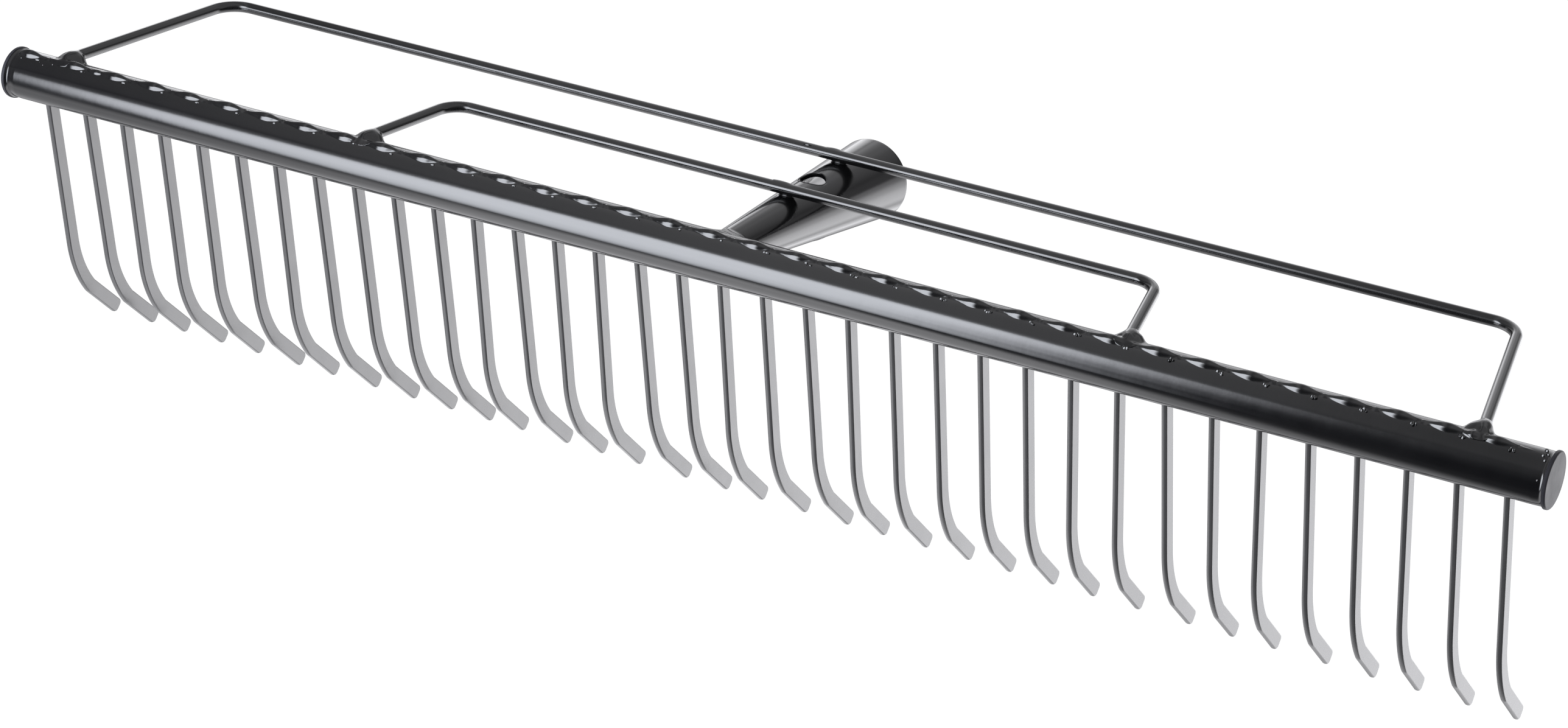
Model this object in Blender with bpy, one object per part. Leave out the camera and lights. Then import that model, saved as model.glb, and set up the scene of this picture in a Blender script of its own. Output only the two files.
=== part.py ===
"""Landscape rake head: a slotted tube with end discs, a row of flat bent
tines, a tapered handle socket and two wire brace bows with their welds.

Metres, +Z up.  Local layout (before the whole head is shifted): X runs along
the tube, +Y points back toward the handle, the tube axis is Y = Z = 0 and the
middle tine stands at X = 0.  The origin of the finished head is the centre of
the handle socket's mouth."""
import bpy
import bmesh
import math
from mathutils import Vector, Matrix

MM = 0.001
GAP = 0.3 * MM                     # clearance between pieces that touch

# ---- tube and end discs
TUBE_R = 13.8 * MM
TUBE_WALL = 2.0 * MM
TUBE_HALF = 452.9 * MM             # half length of the tube
DISC_R = 14.7 * MM
DISC_T = 2.0 * MM
DISC_CHAMFER = 0.4 * MM
ROUND_STEPS = 40

# ---- tines
TINES = 35
PITCH = 25.4 * MM
TINE_T = 3.2 * MM                  # along X
TINE_W = 8.5 * MM                  # along Y
TINE_TOP = 13.0 * MM
TINE_STRAIGHT = -106.5 * MM        # straight part ends here
TINE_BEND_R = 73.5 * MM            # long sweep toward the handle
TINE_BEND = math.radians(28.5)
TINE_KNEE_R = 13.0 * MM            # short knee after the sweep
TINE_END = math.radians(37.8)      # final lean from the vertical
TINE_END_LEN = 33.5 * MM
TINE_CORNER_LOW = 3.0 * MM
TINE_CORNER_UP = 1.8 * MM

# ---- handle socket
SOCK_X = -3.2 * MM                 # where its axis passes the tube axis
SOCK_Z = 1.6 * MM
SOCK_PITCH = math.radians(13.8)    # downward toward the mouth
SOCK_YAW = math.radians(2.92)
SOCK_R0 = 9.456 * MM               # outer radius at the tube axis
SOCK_K = 0.08153                   # outer radius gained per length
SOCK_LEN = 160.2 * MM
SOCK_WALL = 2.3 * MM
SOCK_HOLE_T = 95.5 * MM
SOCK_HOLE_R = 7.5 * MM
SOCK_HOLE_ROLL = math.radians(-3.0)

# ---- wire bows: bar y, bar z, half width at the bar corner, bend radius,
#      foot widening per length, sideways offset
WIRE_R = 3.12 * MM
BOW_SLOPE = math.radians(9.2)
BOW_FOOT_Y = 6.2 * MM
OUTER = dict(y=123.4 * MM, z=-5.15 * MM, half=392.7 * MM, bend=17.0 * MM,
             flare=0.2151, off=-2.2 * MM)
INNER = dict(y=69.8 * MM, z=3.4 * MM, half=212.0 * MM, bend=15.0 * MM,
             flare=0.2163, off=3.9 * MM)

# ---- welds
BEAD_H = 1.9 * MM
BEAD_NECK_H = 0.45 * MM
BEAD_HALF_X = 8.6 * MM             # half length of a lump along the tube
BEAD_SHIFT = -6.0 * MM             # each lump sits to the left of its tine
BEAD_SLANT = -0.35                 # and leans left toward the back
BEAD_W = 5.3 * MM
BEAD_NECK_W = 1.7 * MM

AXIS = Vector((math.sin(SOCK_YAW) * math.cos(SOCK_PITCH),
               math.cos(SOCK_YAW) * math.cos(SOCK_PITCH),
               -math.sin(SOCK_PITCH)))
SOCK_BASE = Vector((SOCK_X, 0.0, SOCK_Z))
MOUTH = SOCK_BASE + AXIS * SOCK_LEN

for ob in list(bpy.data.objects):
    bpy.data.objects.remove(ob, do_unlink=True)

parts = bpy.data.collections.new("landscape_rake_head")
bpy.context.scene.collection.children.link(parts)
cutters = bpy.data.collections.new("cutters")
bpy.context.scene.collection.children.link(cutters)

# the whole head hangs on this empty, so that the socket mouth is the origin
head = bpy.data.objects.new("head_frame", None)
parts.objects.link(head)
head.location = -MOUTH


def material(name, colour, metallic, rough):
    m = bpy.data.materials.new(name)
    m.use_nodes = True
    p = m.node_tree.nodes["Principled BSDF"]
    p.inputs["Base Color"].default_value = (*colour, 1.0)
    p.inputs["Metallic"].default_value = metallic
    p.inputs["Roughness"].default_value = rough
    m.diffuse_color = (*colour, 1.0)
    return m


PAINT = material("paint_black", (0.015, 0.015, 0.018), 0.0, 0.28)
WELD = material("weld_black", (0.018, 0.018, 0.021), 0.0, 0.34)
TINE = material("tine_black", (0.015, 0.015, 0.017), 0.0, 0.24)


def add(name, mesh, mat, collection=None, matrix=None):
    ob = bpy.data.objects.new(name, mesh)
    (collection or parts).objects.link(ob)
    ob.parent = head
    if matrix is not None:
        ob.matrix_basis = matrix
    if mat is not None:
        ob.data.materials.append(mat)
    return ob


def cutter(name, mesh, matrix=None):
    ob = add(name, mesh, None, cutters, matrix)
    ob.hide_render = True
    ob.display_type = 'WIRE'
    return ob


def cut(ob, tool, solver='EXACT'):
    m = ob.modifiers.new("cut_" + tool.name, 'BOOLEAN')
    m.operation = 'DIFFERENCE'
    m.solver = solver
    m.object = tool
    return m


def smooth(ob, angle=35.0):
    ob.data.shade_smooth()
    ob.data.set_sharp_from_angle(angle=math.radians(angle))


def revolve_mesh(name, profile, steps=ROUND_STEPS):
    """Closed (radius, height) loop turned about local Z."""
    bm = bmesh.new()
    rings = []
    for k in range(steps):
        a = 2.0 * math.pi * k / steps
        ring = []
        for r, z in profile:
            if r == 0.0:
                ring.append(None)
            else:
                ring.append(bm.verts.new((r * math.cos(a), r * math.sin(a), z)))
        rings.append(ring)
    poles = {i: bm.verts.new((0.0, 0.0, z)) for i, (r, z) in enumerate(profile) if r == 0.0}
    n = len(profile)
    for k in range(steps):
        a, b = rings[k], rings[(k + 1) % steps]
        for i in range(n):
            j = (i + 1) % n
            if i in poles and j in poles:
                continue
            loop = []
            for side, idx in ((a, i), (b, i), (b, j), (a, j)):
                v = poles[idx] if idx in poles else side[idx]
                if v not in loop:
                    loop.append(v)
            bm.faces.new(loop)
    bmesh.ops.recalc_face_normals(bm, faces=bm.faces)
    me = bpy.data.meshes.new(name)
    bm.to_mesh(me)
    bm.free()
    return me


def prism_mesh(name, outline, x0, x1):
    """Closed (y, z) outline drawn out along X from x0 to x1."""
    bm = bmesh.new()
    face = bm.faces.new([bm.verts.new((x0, y, z)) for y, z in outline])
    out = bmesh.ops.extrude_face_region(bm, geom=[face])
    verts = [g for g in out["geom"] if isinstance(g, bmesh.types.BMVert)]
    bmesh.ops.translate(bm, verts=verts, vec=(x1 - x0, 0.0, 0.0))
    bmesh.ops.recalc_face_normals(bm, faces=bm.faces)
    me = bpy.data.meshes.new(name)
    bm.to_mesh(me)
    bm.free()
    return me


def boxes_mesh(name, boxes):
    """Several separate boxes (centre, size) in one mesh, for cutting."""
    bm = bmesh.new()
    for c, s in boxes:
        bmesh.ops.create_cube(bm, size=1.0, matrix=Matrix.Translation(c) @ Matrix.Diagonal((*s, 1.0)))
    me = bpy.data.meshes.new(name)
    bm.to_mesh(me)
    bm.free()
    return me


def ball_mesh(name, radii, u=20, v=12):
    bm = bmesh.new()
    bmesh.ops.create_uvsphere(bm, u_segments=u, v_segments=v, radius=1.0,
                              matrix=Matrix.Diagonal((*radii, 1.0)))
    me = bpy.data.meshes.new(name)
    bm.to_mesh(me)
    bm.free()
    return me


ALONG_X = Matrix.Rotation(math.radians(90.0), 4, 'Y')     # local Z -> +X


def frame_from_axis(origin, axis, roll=0.0):
    """Local Z on the axis, local X level."""
    z = axis.normalized()
    x = Vector((0.0, 0.0, 1.0)).cross(z).normalized()
    y = z.cross(x)
    m = Matrix((x, y, z)).transposed().to_4x4()
    m.translation = origin
    return m @ Matrix.Rotation(roll, 4, 'Z')


SOCK_M = frame_from_axis(SOCK_BASE, AXIS)


def sock_r(t):
    return SOCK_R0 + SOCK_K * t


# ------------------------------------------------------------------ tube
tine_x = [(i - (TINES - 1) / 2.0) * PITCH for i in range(TINES)]

tube = add("head_tube", revolve_mesh("head_tube", [
    (TUBE_R, TUBE_HALF), (TUBE_R, -TUBE_HALF),
    (TUBE_R - TUBE_WALL, -TUBE_HALF), (TUBE_R - TUBE_WALL, TUBE_HALF)]),
    PAINT, matrix=ALONG_X @ Matrix.Rotation(math.radians(180.0 / ROUND_STEPS), 4, 'Z'))
slots = cutter("tine_slots", boxes_mesh("tine_slots", [
    (Vector((x, 0.0, 0.0)), (TINE_T + 2 * GAP, TINE_W + 2 * GAP, 4 * TUBE_R)) for x in tine_x]))
cut(tube, slots)
smooth(tube)

# ------------------------------------------------------------- end discs
for side, name in ((-1, "left_end_disc"), (1, "right_end_disc")):
    h = DISC_T / 2
    me = revolve_mesh(name, [
        (0.0, h), (DISC_R - DISC_CHAMFER, h), (DISC_R, h - DISC_CHAMFER),
        (DISC_R, -h + DISC_CHAMFER), (DISC_R - DISC_CHAMFER, -h), (0.0, -h)])
    d = add(name, me, PAINT,
            matrix=Matrix.Translation((side * (TUBE_HALF + GAP + h), 0.0, 0.0)) @ ALONG_X)
    smooth(d, 30.0)


# ----------------------------------------------------------------- tines
def corner(p, a, b, r, n):
    """Rounded corner at p between the directions toward a and b."""
    p = Vector(p)
    da = (Vector(a) - p).normalized()
    db = (Vector(b) - p).normalized()
    half = da.angle(db) / 2.0
    centre = p + (da + db).normalized() * (r / math.sin(half))
    s = p + da * (r / math.tan(half)) - centre
    e = p + db * (r / math.tan(half)) - centre
    full = s.angle(e)
    pts = []
    for k in range(n + 1):
        f = k / n
        w = (s * math.sin((1 - f) * full) + e * math.sin(f * full)) / math.sin(full)
        pts.append(centre + w)
    return pts


def tine_outline():
    """Closed (y, z) outline of one tine seen from its side."""
    hw = TINE_W / 2
    line = [((0.0, TINE_TOP), 0.0), ((0.0, TINE_STRAIGHT), 0.0)]
    n = 7
    for k in range(1, n + 1):
        a = TINE_BEND * k / n
        line.append(((TINE_BEND_R * (1 - math.cos(a)),
                      TINE_STRAIGHT - TINE_BEND_R * math.sin(a)), a))
    y1, z1 = line[-1][0]
    for k in (1, 2):
        a = TINE_BEND + (TINE_END - TINE_BEND) * k / 2
        line.append(((y1 + TINE_KNEE_R * (math.cos(TINE_BEND) - math.cos(a)),
                      z1 - TINE_KNEE_R * (math.sin(a) - math.sin(TINE_BEND))), a))
    y2, z2 = line[-1][0]
    line.append(((y2 + TINE_END_LEN * math.sin(TINE_END),
                  z2 - TINE_END_LEN * math.cos(TINE_END)), TINE_END))
    back = [(y + hw * math.cos(a), z + hw * math.sin(a)) for (y, z), a in line]
    front = [(y - hw * math.cos(a), z - hw * math.sin(a)) for (y, z), a in line]
    up = corner(back[-1], back[-2], front[-1], TINE_CORNER_UP, 2)
    low = corner(front[-1], back[-1], front[-2], TINE_CORNER_LOW, 3)
    pts = back[:-1] + [tuple(p) for p in up] + [tuple(p) for p in low] + front[-2::-1]
    return pts


outline = tine_outline()
for i, x in enumerate(tine_x):
    name = "tine_%02d" % (i + 1)
    t = add(name, prism_mesh(name, outline, -TINE_T / 2, TINE_T / 2), TINE,
            matrix=Matrix.Translation((x, 0.0, 0.0)))
    t.data.set_sharp_from_angle(angle=math.radians(20.0))

# --------------------------------------------------------- handle socket
clear_tube = cutter("tube_clearance", revolve_mesh("tube_clearance", [
    (0.0, 600 * MM), (TUBE_R + GAP, 600 * MM), (TUBE_R + GAP, -600 * MM), (0.0, -600 * MM)], 64),
    ALONG_X @ Matrix.Rotation(math.radians(1.3), 4, 'Z'))

t0 = 3.0 * MM
socket = add("handle_socket", revolve_mesh("handle_socket", [
    (sock_r(SOCK_LEN), SOCK_LEN), (sock_r(t0), t0),
    (sock_r(t0) - SOCK_WALL, t0), (sock_r(SOCK_LEN) - SOCK_WALL, SOCK_LEN)]),
    PAINT, matrix=SOCK_M)
hole = cutter("fastener_hole", revolve_mesh("fastener_hole", [
    (0.0, 60 * MM), (SOCK_HOLE_R, 60 * MM), (SOCK_HOLE_R, -60 * MM), (0.0, -60 * MM)], 32),
    SOCK_M @ Matrix.Translation((0.0, 0.0, SOCK_HOLE_T))
    @ Matrix.Rotation(SOCK_HOLE_ROLL, 4, 'Z') @ Matrix.Rotation(math.radians(90.0), 4, 'X'))
cut(socket, clear_tube)
cut(socket, hole)
smooth(socket)


# ------------------------------------------------------------- wire bows
def bow_path(b, extra=0.0):
    """Centre line from the right foot round to the left foot."""
    cs, sn = math.cos(BOW_SLOPE), math.sin(BOW_SLOPE)
    run = (b["y"] - BOW_FOOT_Y) / cs + extra          # foot to bar, in the bow's plane
    foot_x = b["half"] + b["flare"] * cs * run

    def place(u, v):                                   # v measured forward from the bar
        return Vector((u + b["off"], b["y"] - v * cs, b["z"] + v * sn))

    ang = math.atan2(run, foot_x - b["half"])          # direction of the arm from the corner
    turn = math.pi - ang
    r = b["bend"]
    tl = r / math.tan(turn / 2)                        # tangent length
    tl = r * math.tan((math.pi - turn) / 2)
    pts = []
    n = 9
    cu, cv = b["half"] - tl, r                         # bend centre
    start = ang - math.pi / 2                          # normal direction at the arm side
    for side in (1, -1):
        arc = []
        for k in range(n + 1):
            a = start + (-math.pi / 2 - start) * k / n
            arc.append((cu + r * math.cos(a), cv + r * math.sin(a)))
        leg = [(foot_x, run)] + arc
        if side < 0:
            leg = [(-u, v) for u, v in reversed(leg)]
        pts += [place(u, v) for u, v in leg]
    return pts


def wire(name, path, radius, mat, collection=None):
    cu = bpy.data.curves.new(name, 'CURVE')
    cu.dimensions = '3D'
    sp = cu.splines.new('POLY')
    sp.points.add(len(path) - 1)
    for p, v in zip(sp.points, path):
        p.co = (*v, 1.0)
    cu.bevel_depth = radius
    cu.bevel_resolution = 2
    cu.use_fill_caps = True
    tmp = bpy.data.objects.new(name + "_line", cu)
    parts.objects.link(tmp)
    deps = bpy.context.evaluated_depsgraph_get()
    me = bpy.data.meshes.new_from_object(tmp.evaluated_get(deps))
    me.name = name
    bpy.data.objects.remove(tmp, do_unlink=True)
    bm = bmesh.new()
    bm.from_mesh(me)
    bmesh.ops.remove_doubles(bm, verts=bm.verts, dist=1e-6)
    bmesh.ops.recalc_face_normals(bm, faces=bm.faces)
    bm.to_mesh(me)
    bm.free()
    me.materials.clear()
    if collection is None:
        return add(name, me, mat)
    return cutter(name, me)


outer = wire("outer_bow", bow_path(OUTER), WIRE_R, PAINT)
inner = wire("inner_bow", bow_path(INNER), WIRE_R, PAINT)
outer_clear = wire("outer_bow_clearance", bow_path(OUTER, GAP), WIRE_R + GAP, None, cutters)
inner_clear = wire("inner_bow_clearance", bow_path(INNER, GAP), WIRE_R + GAP, None, cutters)
for b in (outer, inner):
    cut(b, clear_tube)
    smooth(b)

# ----------------------------------------------------------------- welds
# run of weld along the tube's top, one lump beside and over each tine's slot
def bead_mesh():
    bm = bmesh.new()
    steps = (-1.0, -0.62, 0.0, 0.62, 1.0)
    arc = (-1.0, -0.4, 0.4, 1.0)
    rings = []
    for x in tine_x:
        for s in steps:
            lump = max(0.0, 1.0 - s * s) ** 0.6
            h = BEAD_NECK_H + (BEAD_H - BEAD_NECK_H) * lump
            w = BEAD_NECK_W + (BEAD_W - BEAD_NECK_W) * lump
            ring = []
            low = TUBE_R + GAP
            for q in arc:
                a = q * w / low
                ring.append((low + 0.25 * MM + (h - 0.25 * MM) * (1 - q * q) ** 0.7, a))
            for q in reversed(arc):
                ring.append((low, q * w / low))
            rings.append([bm.verts.new((x + BEAD_SHIFT + s * BEAD_HALF_X + BEAD_SLANT * r * math.sin(a),
                                        r * math.sin(a), r * math.cos(a))) for r, a in ring])
    for p, q in zip(rings, rings[1:]):
        m = len(p)
        for i in range(m):
            j = (i + 1) % m
            bm.faces.new((p[i], q[i], q[j], p[j]))
    bm.faces.new(rings[0])
    bm.faces.new(list(reversed(rings[-1])))
    bmesh.ops.recalc_face_normals(bm, faces=bm.faces)
    me = bpy.data.meshes.new("tine_weld_run")
    bm.to_mesh(me)
    bm.free()
    return me


bead = add("tine_weld_run", bead_mesh(), WELD)
smooth(bead, 50.0)

# nuggets where the four wire ends meet the tube
front_clear = cutter("front_clearance", boxes_mesh("front_clearance", [
    (Vector((0.0, -14.4 * MM, 16.0 * MM)), (1.2, 40 * MM, 30 * MM))]))
for b, clear, tag in ((OUTER, outer_clear, "outer"), (INNER, inner_clear, "inner")):
    path = bow_path(b)
    for side, foot in (("right", path[0]), ("left", path[-1])):
        lean = -1.0 if side == "right" else 1.0
        name = "%s_bow_%s_weld" % (tag, side)
        at = Vector((foot.x + lean * 1.2 * MM, 10.2 * MM, 12.4 * MM))
        w = add(name, ball_mesh(name, (8.4 * MM, 5.6 * MM, 5.6 * MM)), WELD,
                matrix=Matrix.Translation(at))
        cut(w, clear_tube)
        cut(w, clear)
        cut(w, front_clear)
        smooth(w, 40.0)

# fillets in front of and behind each bow where it crosses the socket
socket_clear = cutter("socket_clearance", revolve_mesh("socket_clearance", [
    (0.0, SOCK_LEN + 20 * MM), (sock_r(SOCK_LEN + 20 * MM) + GAP, SOCK_LEN + 20 * MM),
    (sock_r(0.0) + GAP, 0.0), (0.0, 0.0)], 64), SOCK_M)
for b, clear, tag in ((OUTER, outer_clear, "outer"), (INNER, inner_clear, "inner")):
    t = b["y"] / AXIS.y
    cx = SOCK_X + AXIS.x * t
    for side, s in (("front", -1.0), ("back", 1.0)):
        name = "%s_bow_socket_weld_%s" % (tag, side)
        dy = s * 3.3 * MM
        at = Vector((cx, b["y"] + dy, b["z"] - WIRE_R + 0.5 * MM - dy * math.tan(BOW_SLOPE)))
        w = add(name, ball_mesh(name, (6.5 * MM, 2.9 * MM, 2.0 * MM), 16, 10), WELD,
                matrix=Matrix.Translation(at))
        cut(w, socket_clear)
        cut(w, clear)
        smooth(w, 40.0)

# ring of weld round the socket where it meets the tube
ring = add("socket_tube_weld", revolve_mesh("socket_tube_weld", [
    (sock_r(19 * MM) + 0.8 * MM, 19 * MM), (sock_r(11 * MM) + 2.6 * MM, 11 * MM),
    (sock_r(4 * MM) + 3.2 * MM, 4 * MM), (sock_r(4 * MM) + GAP, 4 * MM),
    (sock_r(19 * MM) + GAP, 19 * MM)]), WELD, matrix=SOCK_M)
cut(ring, clear_tube)
smooth(ring, 40.0)
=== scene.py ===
"""Looks of the landscape rake head: glossy black paint over a welded steel head.

The pieces are built in millimetres around the tube (X along the tube, +Y back to
the handle, tube axis Y = Z = 0, middle tine at X = 0) and then placed in the row
frame, whose origin is the middle of the handle socket's mouth."""
import math

import bmesh
import bpy
import numpy as np
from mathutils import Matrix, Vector


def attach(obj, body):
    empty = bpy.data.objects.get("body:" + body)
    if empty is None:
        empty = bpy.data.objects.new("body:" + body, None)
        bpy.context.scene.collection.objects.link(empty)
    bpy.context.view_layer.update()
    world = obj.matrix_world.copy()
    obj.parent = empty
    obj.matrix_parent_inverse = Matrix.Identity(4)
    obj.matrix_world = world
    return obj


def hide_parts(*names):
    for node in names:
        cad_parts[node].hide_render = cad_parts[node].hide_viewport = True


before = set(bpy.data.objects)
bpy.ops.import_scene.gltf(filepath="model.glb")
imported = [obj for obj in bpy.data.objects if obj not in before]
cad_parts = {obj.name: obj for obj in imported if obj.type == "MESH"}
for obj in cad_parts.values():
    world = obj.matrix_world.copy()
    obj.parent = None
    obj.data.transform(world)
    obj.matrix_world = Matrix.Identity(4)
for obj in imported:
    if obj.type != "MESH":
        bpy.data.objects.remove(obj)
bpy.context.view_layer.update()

# ------------------------------------------------------------ measures, mm
TUBE_R, TUBE_WALL, TUBE_HALF = 13.8, 2.0, 452.9
DISC_R, DISC_T = 14.7, 2.0
TINES, PITCH = 35, 25.4
TINE_T, TINE_W, TINE_TOP = 3.2, 8.5, 13.0
TINE_STRAIGHT, TINE_BEND_R, TINE_BEND = -106.5, 73.5, math.radians(28.5)
TINE_KNEE_R, TINE_END, TINE_END_LEN = 13.0, math.radians(37.8), 33.5
TINE_LOW, TINE_UP, TINE_EDGE = 3.0, 2.6, 0.85
SOCK_BASE = np.array((-3.2, 0.0, 1.6))
SOCK_PITCH, SOCK_YAW = math.radians(13.8), math.radians(2.92)
SOCK_R0, SOCK_K, SOCK_LEN, SOCK_WALL = 9.456, 0.08153, 160.2, 2.3
HOLE_T, HOLE_R, HOLE_ROLL = 95.5, 7.5, math.radians(-3.0)
WIRE_R, BOW_SLOPE, BOW_FOOT_Y = 3.12, math.radians(9.2), 6.2
OUTER = dict(y=123.4, z=-5.15, half=392.7, bend=17.0, flare=0.2151, off=-2.2)
INNER = dict(y=69.8, z=3.4, half=212.0, bend=15.0, flare=0.2163, off=3.9)
AXIS = np.array((math.sin(SOCK_YAW) * math.cos(SOCK_PITCH),
                 math.cos(SOCK_YAW) * math.cos(SOCK_PITCH),
                 -math.sin(SOCK_PITCH)))
MOUTH = SOCK_BASE + AXIS * SOCK_LEN
tine_x = [(i - (TINES - 1) / 2.0) * PITCH for i in range(TINES)]
rng = np.random.default_rng(7)


# ---------------------------------------------------------------- materials
def nodes_of(mat):
    mat.use_nodes = True
    nt = mat.node_tree
    nt.nodes.clear()
    return nt, nt.nodes, nt.links


def paint(name, low, high, rough, peel=1.0, wave=1.0, grit=0.0, gloss=0.5):
    """Gloss paint: nearly black, faint orange peel and slow waviness."""
    mat = bpy.data.materials.new(name)
    nt, nodes, links = nodes_of(mat)
    out = nodes.new("ShaderNodeOutputMaterial")
    bsdf = nodes.new("ShaderNodeBsdfPrincipled")
    links.new(bsdf.outputs[0], out.inputs[0])
    bsdf.inputs["IOR"].default_value = 1.5
    bsdf.inputs["Specular IOR Level"].default_value = gloss
    tc = nodes.new("ShaderNodeTexCoord")

    def noise(scale, detail=2.0, rough_=0.5):
        n = nodes.new("ShaderNodeTexNoise")
        n.inputs["Scale"].default_value = scale
        n.inputs["Detail"].default_value = detail
        n.inputs["Roughness"].default_value = rough_
        links.new(tc.outputs["Object"], n.inputs["Vector"])
        return n

    cloud = noise(22.0, 3.0)
    ramp = nodes.new("ShaderNodeValToRGB")
    ramp.color_ramp.elements[0].position = 0.35
    ramp.color_ramp.elements[0].color = (*low, 1)
    ramp.color_ramp.elements[1].position = 0.68
    ramp.color_ramp.elements[1].color = (*high, 1)
    links.new(cloud.outputs["Fac"], ramp.inputs["Fac"])
    links.new(ramp.outputs["Color"], bsdf.inputs["Base Color"])

    mottle = noise(60.0, 4.0, 0.6)
    mr = nodes.new("ShaderNodeMapRange")
    mr.inputs["From Min"].default_value = 0.3
    mr.inputs["From Max"].default_value = 0.7
    mr.inputs["To Min"].default_value = rough * 0.86
    mr.inputs["To Max"].default_value = rough * 1.16
    links.new(mottle.outputs["Fac"], mr.inputs["Value"])
    links.new(mr.outputs["Result"], bsdf.inputs["Roughness"])

    fine = noise(620.0, 2.0)
    b1 = nodes.new("ShaderNodeBump")
    b1.inputs["Strength"].default_value = 1.0
    b1.inputs["Distance"].default_value = 0.0000055 * peel
    links.new(fine.outputs["Fac"], b1.inputs["Height"])
    slow = noise(95.0, 2.0)
    b2 = nodes.new("ShaderNodeBump")
    b2.inputs["Strength"].default_value = 1.0
    b2.inputs["Distance"].default_value = 0.000028 * wave
    links.new(slow.outputs["Fac"], b2.inputs["Height"])
    links.new(b1.outputs["Normal"], b2.inputs["Normal"])
    last = b2
    if grit > 0.0:
        specks = nodes.new("ShaderNodeTexVoronoi")
        specks.inputs["Scale"].default_value = 260.0
        links.new(tc.outputs["Object"], specks.inputs["Vector"])
        cut = nodes.new("ShaderNodeMapRange")
        cut.inputs["From Min"].default_value = 0.0
        cut.inputs["From Max"].default_value = 0.16
        cut.inputs["To Min"].default_value = 1.0
        cut.inputs["To Max"].default_value = 0.0
        links.new(specks.outputs["Distance"], cut.inputs["Value"])
        b3 = nodes.new("ShaderNodeBump")
        b3.inputs["Strength"].default_value = 1.0
        b3.inputs["Distance"].default_value = 0.00004 * grit
        links.new(cut.outputs["Result"], b3.inputs["Height"])
        links.new(last.outputs["Normal"], b3.inputs["Normal"])
        last = b3
    links.new(last.outputs["Normal"], bsdf.inputs["Normal"])
    return mat


TUBE_PAINT = paint("tube_paint", (0.0028, 0.0029, 0.0034), (0.0042, 0.0043, 0.0048), 0.125)
WELD_PAINT = paint("weld_paint", (0.0026, 0.0027, 0.0031), (0.0044, 0.0044, 0.0048), 0.12, 0.4, 1.2)
TINE_PAINT = paint("tine_paint", (0.034, 0.034, 0.035), (0.043, 0.043, 0.044), 0.22, 0.22, 0.4)
WIRE_PAINT = paint("wire_paint", (0.0030, 0.0030, 0.0033), (0.0046, 0.0046, 0.0049), 0.15, 0.04, 0.3)
SOCKET_PAINT = paint("socket_paint", (0.0028, 0.0029, 0.0032), (0.0044, 0.0044, 0.0048), 0.13, 0.3, 0.9)
DISC_PAINT = paint("disc_paint", (0.020, 0.020, 0.024), (0.027, 0.027, 0.031), 0.38, 1.0, 1.2, 0.0, 0.08)


# ------------------------------------------------------------ mesh helpers
def piece(name, verts, faces, mat, nodes=(), normals=None, sharp=None):
    """Mesh (mm, tube frame) as a piece of the head, placed in the row frame."""
    me = bpy.data.meshes.new(name)
    verts = np.asarray(verts, float)
    faces = [list(map(int, f)) for f in faces]
    if normals is not None:
        # every face looks the way its corners' normals do
        normals = np.asarray(normals, float)
        for size in sorted(set(map(len, faces))):
            which = [k for k, f in enumerate(faces) if len(f) == size]
            q = np.array([faces[k] for k in which])
            area = np.cross(verts[q], verts[np.roll(q, -1, axis=1)]).sum(1)
            turned = (area * normals[q].sum(1)).sum(1) < 0.0
            for k, t in zip(which, turned):
                if t:
                    faces[k] = faces[k][::-1]
    v = (verts - MOUTH) * 0.001
    me.from_pydata(v.tolist(), [], faces)
    me.validate(clean_customdata=False)
    me.update()
    if normals is None:
        bm = bmesh.new()
        bm.from_mesh(me)
        bmesh.ops.recalc_face_normals(bm, faces=bm.faces)
        bm.to_mesh(me)
        bm.free()
    me.polygons.foreach_set("use_smooth", [True] * len(me.polygons))
    if normals is not None:
        me.normals_split_custom_set_from_vertices(np.asarray(normals, float).tolist())
    elif sharp is not None:
        me.set_sharp_from_angle(angle=math.radians(sharp))
    ob = bpy.data.objects.new(name, me)
    bpy.context.scene.collection.objects.link(ob)
    me.materials.append(mat)
    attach(ob, "root")
    if nodes:
        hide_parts(*nodes)
    return ob


def unit(v):
    v = np.asarray(v, float)
    return v / np.maximum(np.linalg.norm(v, axis=-1, keepdims=True), 1e-12)


def revolve(profile, normals, origin, axis, steps, closed=True):
    """(t, r) profile turned about axis: verts, quads, normals."""
    axis = unit(axis)
    side = unit(np.cross((0.0, 0.0, 1.0), axis))
    up = np.cross(axis, side)
    ang = np.arange(steps) * 2 * math.pi / steps
    radial = np.cos(ang)[:, None] * side + np.sin(ang)[:, None] * up
    V, N = [], []
    for (t, r), (nt_, nr) in zip(profile, normals):
        V.append(origin + axis * t + radial * r)
        N.append(unit(axis * nt_ + radial * nr))
    m, F = len(profile), []
    for i in range(m if closed else m - 1):
        j = (i + 1) % m
        for k in range(steps):
            l = (k + 1) % steps
            F.append((i * steps + k, i * steps + l, j * steps + l, j * steps + k))
    return np.concatenate(V), F, np.concatenate(N)


def lathe(profile, normals, origin, axis, steps):
    """Open (t, r) profile whose two ends lie on the axis, turned about it."""
    ring, F, N = revolve(profile[1:-1], normals[1:-1], origin, axis, steps, closed=False)
    axis = unit(axis)
    n = len(ring)
    V = np.concatenate([ring, [origin + axis * profile[0][0], origin + axis * profile[-1][0]]])
    N = np.concatenate([N, [axis * normals[0][0], axis * normals[-1][0]]])
    for k in range(steps):
        l = (k + 1) % steps
        F.append((n, l, k))
        F.append((n + 1, n - steps + k, n - steps + l))
    return V, F, N


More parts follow.
